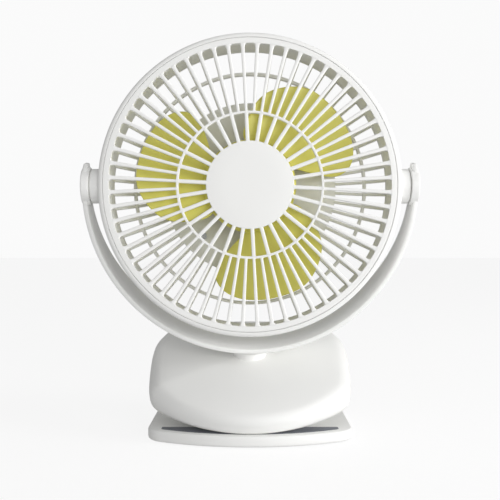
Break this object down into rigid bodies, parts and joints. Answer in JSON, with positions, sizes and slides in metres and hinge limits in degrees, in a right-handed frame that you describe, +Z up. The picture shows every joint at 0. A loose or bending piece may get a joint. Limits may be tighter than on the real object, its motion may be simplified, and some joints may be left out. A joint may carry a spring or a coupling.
{
  "type": "desk fan",
  "caption": "Small clip-on desk fan: round slatted head with a wide-bladed impeller, tilting in a half-round yoke on a swivel neck, over a sprung clip that also stands as its foot.",
  "frame": {"origin": "middle of the foot where it rests on the table, at the centre of the whole object's bounding box", "axes": "+Z up, the fan blows towards -Y, +X to the right as seen from the front"},
  "size_m": [0.1678, 0.096, 0.2006],
  "materials": {
    "white_shell": "satin",
    "white_yoke": "satin",
    "guard_white": "satin",
    "lime_blade": "translucent satin",
    "grip_rubber": "matt",
    "nylon_washer": "matt",
    "steel": "ground",
    "core_steel": "laminated",
    "magnet": "sintered",
    "copper_wire": "enamelled",
    "board": "solder mask",
    "battery_wrap": "shrink film",
    "lens": "diffusing",
    "button": "satin"
  },
  "bodies": {
    "lower_jaw": {"lower_plate": "white_shell", "lower_cover": "guard_white", "lower_pad": "grip_rubber", "foot_pads": "grip_rubber", "hinge_pin": "steel", "clip_springs": "steel", "plate_screws": "steel"},
    "upper_jaw": {"upper_shell": "white_shell", "upper_floor": "guard_white", "upper_pad": "grip_rubber", "swivel_bush": "white_yoke", "battery_pack": "battery_wrap", "control_board": "board", "charge_port": "steel", "indicator_lens": "lens", "floor_screws": "steel"},
    "speed_button": {"speed_button": "button"},
    "yoke": {"yoke_band": "white_yoke", "yoke_cap_left": "white_yoke", "yoke_cap_right": "white_yoke", "washer_left": "nylon_washer", "washer_right": "nylon_washer", "swivel_post": "white_yoke", "swivel_nut": "steel"},
    "head": {"front_grille": "white_shell", "hub_cap": "white_shell", "outer_rim": "white_shell", "rear_guard": "guard_white", "rear_cover": "white_shell", "cover_bolts": "steel", "motor_board": "board", "stator_core": "core_steel", "stator_coils": "copper_wire", "bearing_front": "steel", "bearing_rear": "steel", "pivot_pin_left": "steel", "pivot_pin_right": "steel", "pivot_screws": "steel"},
    "rotor": {"impeller": "lime_blade", "rotor_can": "steel", "magnet_ring": "magnet", "shaft": "steel", "shaft_clip": "steel"}
  },
  "joints": [
    {"name": "clip_open", "type": "hinge", "parent": "lower_jaw", "child": "upper_jaw", "pos_m": [0, 0.018, 0.0154], "axis": [-1, 0, 0], "range_deg": [0, 25], "stiffness_Nm_per_rad": 0.8, "springref_deg": -45.84},
    {"name": "button_press", "type": "slide", "parent": "upper_jaw", "child": "speed_button", "axis": [0, -1, 0], "range_m": [0, 0.0008], "stiffness_N_per_m": 800, "springref_m": -0.001},
    {"name": "neck_swivel", "type": "hinge", "parent": "upper_jaw", "child": "yoke", "pos_m": [0, -0.003, 0.04363], "axis": [0, -0.2079, 0.9781], "range_deg": [-180, 180]},
    {"name": "head_tilt", "type": "hinge", "parent": "yoke", "child": "head", "pos_m": [0, -0.02042, 0.1256], "axis": [1, 0, 0], "range_deg": [-90, 90]},
    {"name": "rotor_spin", "type": "hinge", "parent": "head", "child": "rotor", "pos_m": [0, -0.02042, 0.1256], "axis": [0, -1, 0], "continuous": true}
  ]
}
